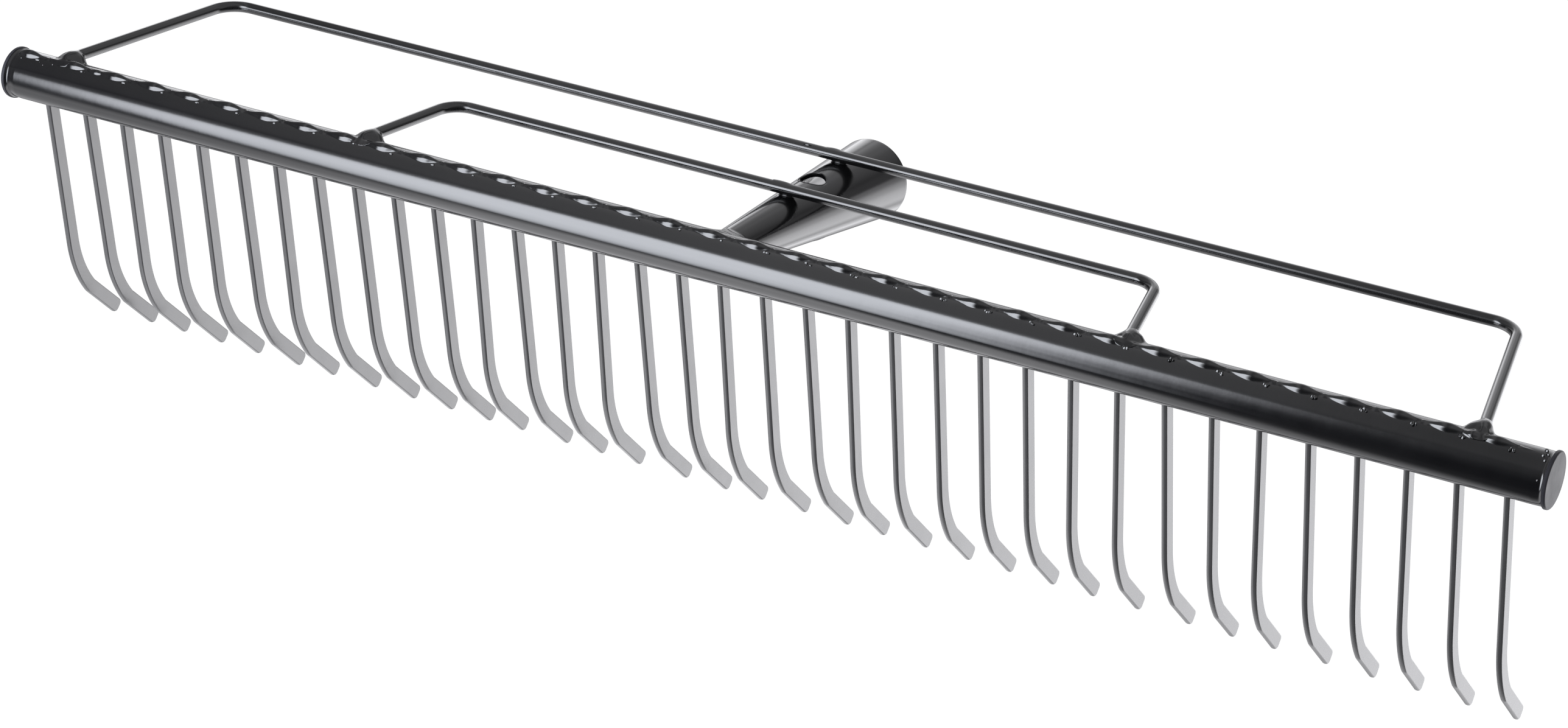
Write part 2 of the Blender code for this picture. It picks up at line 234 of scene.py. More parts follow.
def rounded(points, radii, seg=5):
    """Polyline in the plane with its inner corners rounded: points and normals
    to the left of the way along it."""
    pts = [np.array(p, float) for p in points]
    out, nor = [], []

    def left(d):
        return np.array((-d[1], d[0]))
    for i, p in enumerate(pts):
        if i in (0, len(pts) - 1):
            d = unit(pts[1] - p) if i == 0 else unit(p - pts[-2])
            out.append(p); nor.append(left(d))
            continue
        a, b = unit(pts[i - 1] - p), unit(pts[i + 1] - p)
        r = radii[i]
        half = math.acos(max(-1, min(1, float(a @ b)))) / 2
        tl = r / math.tan(half)
        c = p + unit(a + b) * (r / math.sin(half))
        s, e = p + a * tl - c, p + b * tl - c
        full = math.acos(max(-1, min(1, float(s @ e) / (r * r))))
        sign = 1.0 if (left(-a) @ s) > 0 else -1.0
        for k in range(seg + 1):
            f = k / seg
            w = (s * math.sin((1 - f) * full) + e * math.sin(f * full)) / math.sin(full)
            out.append(c + w); nor.append(unit(w) * sign)
    return out, nor


def iso(f, lo, hi, step):
    """Closed surface f = 0 (negative inside) by surface nets, pulled onto the
    zero level and given the field's own normals."""
    lo, hi = np.array(lo, float), np.array(hi, float)
    n = np.ceil((hi - lo) / step).astype(int) + 1
    ax = [lo[a] + step * np.arange(n[a]) for a in range(3)]
    P = np.stack(np.meshgrid(*ax, indexing="ij"), -1)
    v = f(P)
    for a in range(3):
        sl = [slice(None)] * 3
        for e in (0, -1):
            sl[a] = e
            v[tuple(sl)] = np.maximum(v[tuple(sl)], 0.01)
    ins = v < 0
    cells = tuple(n - 1)
    acc, cnt = np.zeros(cells + (3,)), np.zeros(cells)
    edges = []
    for a in range(3):
        s0, s1 = [slice(None)] * 3, [slice(None)] * 3
        s0[a], s1[a] = slice(0, -1), slice(1, None)
        v0, v1 = v[tuple(s0)], v[tuple(s1)]
        cross = ins[tuple(s0)] != ins[tuple(s1)]
        t = np.where(cross, v0 / np.where(cross, v0 - v1, 1.0), 0.0)
        pt = P[tuple(s0)].copy()
        pt[..., a] += t * step
        pt *= cross[..., None]
        b, c = [x for x in range(3) if x != a]
        for db in (0, 1):
            for dc in (0, 1):
                src, dst = [slice(None)] * 3, [slice(None)] * 3
                for q, d in ((b, db), (c, dc)):
                    src[q] = slice(0, n[q] - 1) if d == 0 else slice(1, n[q])
                acc += pt[tuple(src)]
                cnt += cross[tuple(src)]
        edges.append((a, b, c, cross, ins[tuple(s0)]))
    used = cnt > 0
    idx = -np.ones(cells, int)
    idx[used] = np.arange(used.sum())
    V = acc[used] / cnt[used][:, None]
    F = []
    for a, b, c, cross, inside in edges:
        ijk = np.argwhere(cross)
        ok = (ijk[:, b] > 0) & (ijk[:, b] < n[b] - 1) & (ijk[:, c] > 0) & (ijk[:, c] < n[c] - 1)
        ijk = ijk[ok]
        quad = []
        for db, dc in ((1, 1), (0, 1), (0, 0), (1, 0)):
            q = ijk.copy()
            q[:, b] -= db
            q[:, c] -= dc
            quad.append(idx[q[:, 0], q[:, 1], q[:, 2]])
        quad = np.stack(quad, 1)
        flip = ~inside[ijk[:, 0], ijk[:, 1], ijk[:, 2]]
        if a == 1:
            flip = ~flip
        quad[flip] = quad[flip][:, ::-1]
        F.append(quad)
    F = np.concatenate(F)

    def grad(p, e=0.04):
        g = np.zeros_like(p)
        for a in range(3):
            d = np.zeros(3); d[a] = e
            g[:, a] = (f(p + d) - f(p - d)) / (2 * e)
        return g
    for _ in range(3):
        g = grad(V)
        move = f(V)[:, None] * g / np.maximum((g * g).sum(1, keepdims=True), 0.1)
        V = V - np.clip(move, -0.5 * step, 0.5 * step)
    return V, F, unit(grad(V))


def smin(a, b, k):
    h = np.clip(0.5 + 0.5 * (b - a) / k, 0.0, 1.0)
    return b + (a - b) * h - k * h * (1.0 - h)


def sd_tube(p, r=TUBE_R):
    return np.hypot(p[..., 1], p[..., 2]) - r


def sd_ball(p, c, r):
    q = (p - np.asarray(c, float)) / np.asarray(r, float)
    k0 = np.linalg.norm(q, axis=-1)
    k1 = np.linalg.norm(q / np.asarray(r, float), axis=-1)
    return k0 * (k0 - 1.0) / np.maximum(k1, 1e-9)


def sd_line(p, a, b, r):
    a, b = np.asarray(a, float), np.asarray(b, float)
    d = b - a
    h = np.clip(((p - a) @ d) / (d @ d), 0.0, 1.0)
    return np.linalg.norm(p - a - h[..., None] * d, axis=-1) - r


def sd_path(p, pts, r):
    out = None
    for a, b in zip(pts[:-1], pts[1:]):
        d = sd_line(p, a, b, r)
        out = d if out is None else np.minimum(out, d)
    return out


def sd_socket(p, grow=0.0):
    q = p - SOCK_BASE
    t = q @ AXIS
    rho = np.linalg.norm(q - t[..., None] * AXIS, axis=-1)
    return (rho - (SOCK_R0 + SOCK_K * t) - grow) * math.cos(math.atan(SOCK_K))


# -------------------------------------------------------------------- tube
def flare(x):
    """The tube is drawn in a little before the bead round each end disc:
    radius, slope."""
    e = TUBE_HALF - abs(x)
    d = np.clip((FLARE - e) / (FLARE - BEAD), 0.0, 1.0)
    drawn, lip = (DRAWN, 0.75) if x < 0 else (0.12, 0.35)
    r, k = TUBE_R - drawn * d * d * (3 - 2 * d), -drawn * 6 * d * (1 - d) / (FLARE - BEAD)
    if e < BEAD:
        b = (BEAD - e) / BEAD
        r, k = TUBE_R - drawn + lip * b * b, 2 * lip * b / BEAD
    return r, k * np.sign(x)


BEAD, DRAWN = 1.5, 0.42
FLARE = 6.0
ends = TUBE_HALF - np.concatenate([np.linspace(0.0, BEAD, 8), np.linspace(BEAD, FLARE, 13)[1:]])
stations = np.concatenate([-ends, np.linspace(-TUBE_HALF + FLARE, TUBE_HALF - FLARE, 61)[1:-1], ends[::-1]])
prof, nrm = [(-TUBE_HALF, TUBE_R - TUBE_WALL)], [(-1, 0)]
for x in stations:
    r, k = flare(x)
    prof.append((x, r)); nrm.append((-k, 1))
prof.append((TUBE_HALF, TUBE_R - TUBE_WALL)); nrm.append((1, 0))
for x in np.linspace(TUBE_HALF - 0.6, -TUBE_HALF + 0.6, 21):
    prof.append((x, TUBE_R - TUBE_WALL)); nrm.append((0, -1))
V, F, N = revolve(prof, nrm, np.zeros(3), (1, 0, 0), 288)
piece("tube", V, F, TUBE_PAINT, ["head_tube"], N)

# ------------------------------------------------------------- end discs
for side, name in ((-1, "left"), (1, "right")):
    x0 = side * (TUBE_HALF + 0.1)
    x1 = side * (TUBE_HALF + 0.3 + DISC_T)
    pts, nor = rounded([(0.0, 0.0), (0.0, DISC_R), (abs(x1 - x0), DISC_R), (abs(x1 - x0), 0.0)],
                       [0, 0.35, 0.9, 0], 7)
    prof = [(x0 + side * p[0], p[1]) for p in pts]
    nn = [(side * n[0], n[1]) for n in nor]
    # face of the disc in a few rings
    face = [(x1, r) for r in np.linspace(DISC_R - 0.9, 0.0, 12)[1:]]
    V, F, N = lathe(prof[:-1] + face, nn[:-1] + [(side, 0.0)] * len(face), np.zeros(3), (1, 0, 0), 128)
    piece(name + "_disc_cap", V, F, DISC_PAINT, [name + "_end_disc"], N)


# ------------------------------------------------------------------- tines
def tine_line():
    line = [((0.0, TINE_TOP), 0.0)]
    for z in np.linspace(0.0, TINE_STRAIGHT, 8):
        line.append(((0.0, z), 0.0))
    n = 22
    for k in range(1, n + 1):
        a = TINE_BEND * k / n
        line.append(((TINE_BEND_R * (1 - math.cos(a)), TINE_STRAIGHT - TINE_BEND_R * math.sin(a)), a))
    y1, z1 = line[-1][0]
    for k in range(1, 7):
        a = TINE_BEND + (TINE_END - TINE_BEND) * k / 6
        line.append(((y1 + TINE_KNEE_R * (math.cos(TINE_BEND) - math.cos(a)),
                      z1 - TINE_KNEE_R * (math.sin(a) - math.sin(TINE_BEND))), a))
    y2, z2 = line[-1][0]
    for k in (1, 2, 3):
        s = TINE_END_LEN * k / 3
        line.append(((y2 + s * math.sin(TINE_END), z2 - s * math.cos(TINE_END)), TINE_END))
    return line


def arc(c0, p0, p1, n):
    out = []
    for k in range(n + 1):
        f = k / n
        a0 = math.atan2(*(p0 - c0)[::-1]); a1 = math.atan2(*(p1 - c0)[::-1])
        d = (a1 - a0 + math.pi) % (2 * math.pi) - math.pi
        a = a0 + d * f
        r = np.linalg.norm(p0 - c0)
        out.append((c0 + r * np.array((math.cos(a), math.sin(a))), np.array((math.cos(a), math.sin(a)))))
    return out


def tine_outline():
    """Outline (y, z) and its outward normals, down the back and up the front."""
    hw = TINE_W / 2
    line = tine_line()
    back, front = [], []
    for (y, z), a in line:
        n = np.array((math.cos(a), math.sin(a)))
        back.append((np.array((y, z)) + n * hw, n))
        front.append((np.array((y, z)) - n * hw, -n))
    (ey, ez), a = line[-1]
    along = np.array((math.sin(a), -math.cos(a)))
    across = np.array((math.cos(a), math.sin(a)))
    end = np.array((ey, ez))
    cu = end + across * (hw - TINE_UP) - along * TINE_UP
    cl = end - across * (hw - TINE_LOW) - along * TINE_LOW
    up = arc(cu, cu + across * TINE_UP, cu + along * TINE_UP, 6)
    low = arc(cl, cl + along * TINE_LOW, cl - across * TINE_LOW, 8)
    return back[:-1] + up + low + front[-2::-1]


OUT = tine_outline()
OP = np.array([p for p, n in OUT])
ON = np.array([n for p, n in OUT])


CROWN = math.radians(20.0)


def tine_mesh(x, lean, shift):
    """Flat bar with crowned narrow faces and softly rounded corners."""
    e = TINE_EDGE
    flat_x = TINE_T / 2 - e * (1 - math.sin(CROWN))
    big = flat_x / math.sin(CROWN)
    sag = big * (1 - math.cos(CROWN))
    section = []                                   # (x, inset, angle of the normal from the side)
    for a in np.linspace(0.0, 0.5 * math.pi - CROWN, 6):
        section.append((TINE_T / 2 - e * (1 - math.cos(a)), sag + e * (math.cos(CROWN) - math.sin(a)), a))
    for c in (0.66, 0.33):
        section.append((big * math.sin(c * CROWN), big * (1 - math.cos(c * CROWN)), 0.5 * math.pi - c * CROWN))
    whole = [(-px, d, math.pi - a) for px, d, a in section] + [(0.0, 0.0, 0.5 * math.pi)]
    whole += [(px, d, a) for px, d, a in reversed(section)]
    rings, normals = [], []
    for px, d, a in whole:
        q = OP - ON * d
        rings.append(np.stack([np.full(len(q), px), q[:, 0], q[:, 1]], 1))
        normals.append(np.stack([np.full(len(q), math.cos(a)), ON[:, 0] * math.sin(a), ON[:, 1] * math.sin(a)], 1))
    m = len(OP)
    F = [list(range(m))]
    for r in range(len(rings) - 1):
        for i in range(m):
            j = (i + 1) % m
            F.append((r * m + i, (r + 1) * m + i, (r + 1) * m + j, r * m + j))
    F.append([(len(rings) - 1) * m + i for i in reversed(range(m))])
    V, N = np.concatenate(rings), np.concatenate(normals)
    depth = np.clip(-V[:, 2], 0, None)
    V = np.stack([V[:, 0] + shift + lean * depth + x, V[:, 1], V[:, 2]], 1)
    N = np.stack([N[:, 0], N[:, 1], N[:, 2] + N[:, 0] * lean], 1)
    return V, F, unit(N)


# the tines were set by hand: mm that each leans sideways over its length
TINE_SIDE = (-0.8, 0.6, -1.6, -1.0, -1.0, 1.3, -0.5, 2.2, 2.5, 2.2, 2.1, -1.2, 2.0, -0.3, -1.4, 2.6, 2.7, 0.3,
             1.6, 2.6, -0.2, 0.2, 0.4, -0.3, -0.4, -2.1, -1.7, 1.4, 0.4, -1.4, 1.2, 1.2, 0.3, 1.7, 1.9)
for i, x in enumerate(tine_x):
    set_off = -1.15 * math.sin(2 * math.pi * (i - 17.3) / 25.5)
    V, F, N = tine_mesh(x, TINE_SIDE[i] / 150.0, set_off)
    piece("tine_%02d_bar" % (i + 1), V, F, TINE_PAINT, ["tine_%02d" % (i + 1)], N)


# -------------------------------------------------------------------- bows
def bow_path(b, extra=0.0, n=22):
    cs, sn = math.cos(BOW_SLOPE), math.sin(BOW_SLOPE)
    run = (b["y"] - BOW_FOOT_Y) / cs + extra
    foot_x = b["half"] + b["flare"] * cs * run

    def place(u, v):
        return np.array((u + b["off"], b["y"] - v * cs, b["z"] + v * sn))
    ang = math.atan2(run, foot_x - b["half"])
    r = b["bend"]
    tl = r * math.tan(ang / 2)
    cu, cv = b["half"] - tl, r
    start = ang - math.pi / 2
    pts = []
    for side in (1, -1):
        leg = [(foot_x - (foot_x - b["half"]) * f, run * (1 - f)) for f in (0.0, 0.3, 0.6)]
        curve = []
        for k in range(n + 1):
            a = start + (-math.pi / 2 - start) * k / n
            curve.append((cu + r * math.cos(a), cv + r * math.sin(a)))
        p0 = curve[0]
        leg = [(foot_x + (p0[0] - foot_x) * f, run + (p0[1] - run) * f) for f in (0.0, 0.33, 0.66)] + curve
        if side < 0:
            leg = [(-u, v) for u, v in reversed(leg)]
        pts += [place(u, v) for u, v in leg]
        if side > 0:
            for f in np.linspace(1, -1, 15)[1:-1]:
                pts.append(place(f * cu, 0.0))
    return np.array(pts)


def sweep(path, r, steps=24):
    tang = np.zeros_like(path)
    tang[1:-1] = unit(unit(path[2:] - path[1:-1]) + unit(path[1:-1] - path[:-2]))
    tang[0], tang[-1] = unit(path[1] - path[0]), unit(path[-1] - path[-2])
    u = unit(np.cross(tang[0], (0.0, 0.0, 1.0)))
    V, N = [], []
    for p, t in zip(path, tang):
        u = unit(u - (u @ t) * t)
        w = np.cross(t, u)
        ang = np.arange(steps) * 2 * math.pi / steps
        d = np.cos(ang)[:, None] * u + np.sin(ang)[:, None] * w
        V.append(p + d * r); N.append(d)
    F = []
    for i in range(len(path) - 1):
        for k in range(steps):
            l = (k + 1) % steps
            F.append((i * steps + k, i * steps + l, (i + 1) * steps + l, (i + 1) * steps + k))
    m = len(path) * steps
    F.append(list(reversed(range(steps))))
    F.append(list(range(m - steps, m)))
    return np.concatenate(V), F, np.concatenate(N)


paths = {}
for b, name in ((OUTER, "outer"), (INNER, "inner")):
    path = bow_path(b, 1.0)
    paths[name] = path
    V, F, N = sweep(path, WIRE_R, 64)
    piece(name + "_bow_wire", V, F, WIRE_PAINT, [name + "_bow"], N)


# ------------------------------------------------------------------ socket
def socket_solid():
    e = 0.55
    r0, r1 = SOCK_R0 + SOCK_K * 6.0, SOCK_R0 + SOCK_K * SOCK_LEN
    pts, nor = rounded([(6.0, r0), (SOCK_LEN, r1), (SOCK_LEN, r1 - SOCK_WALL), (6.0, r0 - SOCK_WALL)],
                       [0, e, e, 0], 5)
    prof, nn = [], []
    # outer wall in even rings, rounded mouth, inner wall back
    for t in np.linspace(6.0, SOCK_LEN - 2.0, 60):
        prof.append((t, SOCK_R0 + SOCK_K * t)); nn.append((-SOCK_K, 1.0))
    for p, n in zip(pts[1:-1], nor[1:-1]):
        prof.append(tuple(p)); nn.append(tuple(n))
    for t in np.linspace(SOCK_LEN - 2.0, 6.0, 40):
        prof.append((t, SOCK_R0 + SOCK_K * t - SOCK_WALL)); nn.append((SOCK_K, -1.0))
    return revolve(prof, nn, SOCK_BASE, AXIS, 256)


V, F, N = socket_solid()
sock = piece("socket_shell", V, F, SOCKET_PAINT, ["handle_socket"], None, 40)
# cross hole
z = Vector(AXIS)
lx = Vector((0, 0, 1)).cross(z).normalized()
ly = z.cross(lx)
pin_axis = -(ly * math.cos(HOLE_ROLL) - lx * math.sin(HOLE_ROLL))
hole_c = SOCK_BASE + AXIS * HOLE_T
pin_axis = np.array(pin_axis)
wall_r = SOCK_R0 + SOCK_K * HOLE_T
V, F, N = revolve([(-40, 0.01), (-40, HOLE_R), (40, HOLE_R), (40, 0.01)], [(0, 1)] * 4, hole_c, pin_axis, 72)
me = bpy.data.meshes.new("hole_pin")
me.from_pydata(((V - MOUTH) * 0.001).tolist(), [], [list(f) for f in F])
pin = bpy.data.objects.new("hole_pin", me)
bpy.context.scene.collection.objects.link(pin)
mod = sock.modifiers.new("hole", 'BOOLEAN')
mod.operation, mod.solver, mod.object = 'DIFFERENCE', 'EXACT', pin
dg = bpy.context.evaluated_depsgraph_get()
cut = bpy.data.meshes.new_from_object(sock.evaluated_get(dg))
sock.modifiers.clear()
old = sock.data
sock.data = cut
bpy.data.meshes.remove(old)
bpy.data.objects.remove(pin, do_unlink=True)
# paint stands a little proud round both ends of the hole
bm = bmesh.new()
bm.from_mesh(cut)
for way in (1.0, -1.0):
    w = unit(pin_axis) * way
    e1 = unit(AXIS - (AXIS @ w) * w)
    e2 = np.cross(w, e1)
    rim, turns, round_ = [], 96, 14
    for k in range(turns):
        b = 2 * math.pi * k / turns
        out_ = e1 * math.cos(b) + e2 * math.sin(b)
        q, t = hole_c + out_ * (HOLE_R + 0.3), wall_r
        for _ in range(12):
            t -= float(sd_socket(q + w * t))
        for j in range(round_):
            a = 2 * math.pi * j / round_
            rim.append(q + w * (t - 0.28) + (out_ * math.cos(a) + w * math.sin(a)) * 0.52)
    vs_ = [bm.verts.new(tuple((v - MOUTH) * 0.001)) for v in rim]
    made = []
    for k in range(turns):
        for j in range(round_):
            k2, j2 = (k + 1) % turns, (j + 1) % round_
            made.append(bm.faces.new([vs_[k * round_ + j], vs_[k2 * round_ + j], vs_[k2 * round_ + j2], vs_[k * round_ + j2]]))
    bmesh.ops.recalc_face_normals(bm, faces=made)
bm.to_mesh(cut)
bm.free()
cut.polygons.foreach_set("use_smooth", [True] * len(cut.polygons))
cut.set_sharp_from_angle(angle=math.radians(40))
sock.data.materials.clear()
sock.data.materials.append(SOCKET_PAINT)

# ------------------------------------------------------- run of tine welds
LUMP_A, LUMP_B, LUMP_RHO = np.array((-0.70, 11.98)), np.array((0.10, 13.70)), 2.75
lumps = []
for i, x in enumerate(tine_x):
    grow = 1.0 + rng.uniform(-0.05, 0.05)
    lumps.append(dict(x=x - 5.0 - 0.09 * (i - 17) + rng.uniform(-0.5, 0.5), left=12.8 * grow, right=11.0 * grow,
                      y=rng.uniform(-0.25, 0.25), z=rng.uniform(-0.12, 0.08),
                      rho=LUMP_RHO * (1 + rng.uniform(-0.04, 0.04))))
lumps[0].update(x=tine_x[0] - 12.0, left=9.0, right=11.0, rho=3.0)
lumps[1].update(x=tine_x[1] - 6.5)
lumps.append(dict(x=tine_x[1] + 9.0, left=5.6, right=5.6, y=-0.4, z=-0.2, rho=2.0))
lumps.append(dict(x=tine_x[33] + 6.5, left=6.6, right=6.0, y=-0.2, z=-0.2, rho=2.5))


LOW_RHO = 0.9


def lump_radius(L, x):
    """Radius of the bead along the tube: long soft ends, rounded middle."""
    u = np.clip(np.where(x < L["x"], (L["x"] - x) / L["left"], (x - L["x"]) / L["right"]), 0.0, 1.0)
    return LOW_RHO + (L["rho"] - LOW_RHO) * np.cos(0.5 * math.pi * u ** 1.06) ** 2


def sd_lump(p, L):
    """Signed distance, near enough, to a bead lying along the tube."""
    q = p[..., 1:] - (LUMP_A + (L["y"], L["z"]))
    d = LUMP_B - LUMP_A
    h = np.clip((q @ d) / (d @ d), 0.0, 1.0)
    return (np.linalg.norm(q - h[..., None] * d, axis=-1) - lump_radius(L, p[..., 0])) * 0.95


def lump_reach(L, x, uy, uz):
    """Height over the tube at which a ray from its axis leaves the bead."""
    rho = lump_radius(L, x)
    a, b = LUMP_A + (L["y"], L["z"]), LUMP_B + (L["y"], L["z"])
    d, size = unit(b - a), np.linalg.norm(b - a)
    best = np.full(x.shape, -9.0)
    for c in (a, b):
        cu = c[0] * uy + c[1] * uz
        disc = rho ** 2 - c @ c + cu ** 2
        best = np.maximum(best, np.where(disc > 0, cu + np.sqrt(np.maximum(disc, 0.0)), -9.0))
    m = np.array((-d[1], d[0]))
    un = m[0] * uy + m[1] * uz
    t = (a @ m + rho) / np.where(un > 0.02, un, 1.0)
    along = (t * uy - a[0]) * d[0] + (t * uz - a[1]) * d[1]
    best = np.where((un > 0.02) & (along > 0) & (along < size), np.maximum(best, t), best)
    return best - TUBE_R


def flake(c, r, rows=9, cols=16):
    """Flat drop that faces up and to the front: centre, half sizes along the
    tube, up its slope and through it."""
    n = unit(unit(np.array((989.6, -1633.3, 1222.2)) - c) + unit(np.array((-820.0, -1222.0, 445.0)) - c))
    e1 = unit(np.array((1.0, 0.0, 0.0)) - n[0] * n)
    e2 = np.cross(n, e1)
    V, F = blob(np.zeros(3), (1.0, 1.0, 1.0), rows, cols)
    return c + V[:, :1] * r[0] * e1 + V[:, 1:2] * r[1] * e2 + V[:, 2:] * r[2] * n, F


def blob(c, r, rows=7, cols=12):
    """Small closed spatter drop, mostly sunk in what carries it."""
    V = [c + np.array((0, 0, r[2]))]
    for i in range(1, rows):
        a = math.pi * i / rows
        for k in range(cols):
            b = 2 * math.pi * k / cols
            V.append(c + np.array((r[0] * math.sin(a) * math.cos(b), r[1] * math.sin(a) * math.sin(b), r[2] * math.cos(a))))
    V.append(c - np.array((0, 0, r[2])))
    F = []
    for k in range(cols):
        l = (k + 1) % cols
        F.append((0, 1 + k, 1 + l))
        F.append((len(V) - 1, 1 + (rows - 2) * cols + l, 1 + (rows - 2) * cols + k))
        for i in range(rows - 2):
            F.append((1 + i * cols + k, 1 + (i + 1) * cols + k, 1 + (i + 1) * cols + l, 1 + i * cols + l))
    return np.array(V), F


def ridge_radius(x):
    """Radius of the low ragged ridge that joins the beads."""
    fade = np.clip((446.0 - np.abs(x + 2.0)) / 12.0, 0.0, 1.0)
    return 2.62 + 0.05 * np.sin(x * 0.71 + 1.3) + 0.03 * np.sin(x * 1.63) - 0.9 * (1.0 - fade)


def weld_run():
    xs = np.arange(-450.6, 446.6, 0.48)
    ss = np.concatenate([[-7.4, -6.9, -6.4, -5.9], np.arange(-5.4, 2.5, 0.235), np.arange(2.7, 6.9, 0.45), [7.3, 7.8]])
    X, S = np.meshgrid(xs, ss, indexing="ij")
    A = S / TUBE_R
    uy, uz = np.sin(A), np.cos(A)
    h = np.full(X.shape, -9.0)
    for L in lumps:
        near = np.where((xs > L["x"] - L["left"]) & (xs < L["x"] + L["right"]))[0]
        sl = slice(near[0], near[-1] + 1)
        d = lump_reach(L, X[sl], uy[sl], uz[sl])
        d = np.where(d < -1.6, -9.0, d)
        both = np.minimum(h[sl], d) > -3.0
        h[sl] = np.where(both, -smin(-h[sl], -d, 0.7), np.maximum(h[sl], d))
    # a low ragged ridge joins the lumps
    low = ridge_radius(X)
    cu = 0.2 * uy + 11.9 * uz
    disc = low ** 2 - 0.2 ** 2 - 11.9 ** 2 + cu ** 2
    ridge = np.where(disc > 0, cu + np.sqrt(np.maximum(disc, 0.0)) - TUBE_R, -2.0)
    h = -smin(-h, -ridge, 1.0)
    h = -smin(-h, np.full_like(h, 0.16), 0.6)
    edge = np.minimum.reduce([S - ss[0], ss[-1] - S, X - xs[0], xs[-1] - X])
    h = np.where(edge < 0.6, np.minimum(h, -0.35), h)
    R = TUBE_R + h
    top = np.stack([X, R * uy, R * uz], -1)
    under = np.stack([X, (TUBE_R - 0.9) * uy, (TUBE_R - 0.9) * uz], -1)
    nx, ns = X.shape
    V = np.concatenate([top.reshape(-1, 3), under.reshape(-1, 3)])
    i, j = np.meshgrid(np.arange(nx - 1), np.arange(ns - 1), indexing="ij")
    a = (i * ns + j).ravel(); b = ((i + 1) * ns + j).ravel()
    c = ((i + 1) * ns + j + 1).ravel(); d = (i * ns + j + 1).ravel()
    o = nx * ns
    F = [np.stack([a, b, c, d], 1), np.stack([a + o, d + o, c + o, b + o], 1)]
    for jj, rev in ((0, True), (ns - 1, False)):
        k = np.arange(nx - 1)
        q = np.stack([k * ns + jj, (k + 1) * ns + jj, (k + 1) * ns + jj + o, k * ns + jj + o], 1)
        F.append(q[:, ::-1] if rev else q)
    for ii, rev in ((0, False), (nx - 1, True)):
        k = np.arange(ns - 1)
        q = np.stack([ii * ns + k, ii * ns + k + 1, ii * ns + k + 1 + o, ii * ns + k + o], 1)
        F.append(q if rev is False else q[:, ::-1])
    faces = [tuple(f) for f in np.concatenate(F).tolist()]
    # spatter where each bead was left off, coarser towards the right end
    parts, n0 = [V], len(V)
    for i, x in enumerate(tine_x):
        L = lumps[i]
        right_ = min(1.0, max(0.0, (i - 14) / 14.0))
        for k in range(2 if i < 18 else 5):
            px = L["x"] + L["right"] * rng.uniform(0.62, 0.95)
            th = math.radians(rng.uniform(100.5, 107.0))
            r = (0.34 + 0.5 * right_) * rng.uniform(0.6, 1.25)
            if k == 0:
                px, th, r = L["x"] + 7.2 + rng.uniform(-0.5, 0.5), math.radians(rng.uniform(101.5, 104.0)), 0.7
            at = np.array((px, (TUBE_R + 0.25 * r) * math.cos(th), (TUBE_R + 0.25 * r) * math.sin(th)))
            if k == 0 or (k < 3 and i >= 18):
                bv, bf = flake(at, (r * rng.uniform(1.3, 2.3) * (1.0 - 0.35 * right_), r * (0.9 + 0.5 * right_), 0.32 * r))
            else:
                bv, bf = blob(at, (r * rng.uniform(0.9, 1.3), r, r))
            parts.append(bv)
            faces += [tuple(q + n0 for q in f) for f in bf]
            n0 += len(bv)
    for px, th, r in ((449.0, 80, 1.0), (450.6, 92, 0.9), (448.6, 98, 0.9), (450.4, 109, 0.8), (450.0, 152, 0.55),
                      (-446.5, 108, 0.35), (-431.0, 112, 0.3), (-425.5, 104, 0.35)):
        th = math.radians(th)
        rr = flare(px)[0] + 0.25 * r
        bv, bf = flake(np.array((px, rr * math.cos(th), rr * math.sin(th))), (1.2 * r, 1.1 * r, 0.32 * r))
        parts.append(bv)
        faces += [tuple(q + n0 for q in f) for f in bf]
        n0 += len(bv)
    return np.concatenate(parts), faces


V, F = weld_run()
piece("tine_weld_beads", V, F, WELD_PAINT, ["tine_weld_run"], None, 75)


# ----------------------------------------------------- welds of the bows' feet
# mounds beside each foot: (x from the foot, y, z), radii
MOUNDS = {
    ("outer", "left"): (((2.0, 7.6, 11.0), (6.2, 5.8, 6.1)), ((-2.6, 6.5, 10.6), (5.4, 5.0, 5.0))),
    ("outer", "right"): (((-0.8, 7.6, 11.0), (4.9, 5.8, 6.1)), ((-4.6, 6.4, 10.6), (5.3, 4.9, 5.0))),
    ("inner", "left"): (((2.4, 7.5, 10.8), (5.8, 5.8, 5.9)), ((-2.0, 6.4, 10.6), (5.2, 4.9, 4.8))),
    ("inner", "right"): (((1.5, 7.2, 10.1), (5.6, 5.6, 5.4)), ((-2.8, 6.2, 10.2), (5.2, 4.8, 4.6)))}


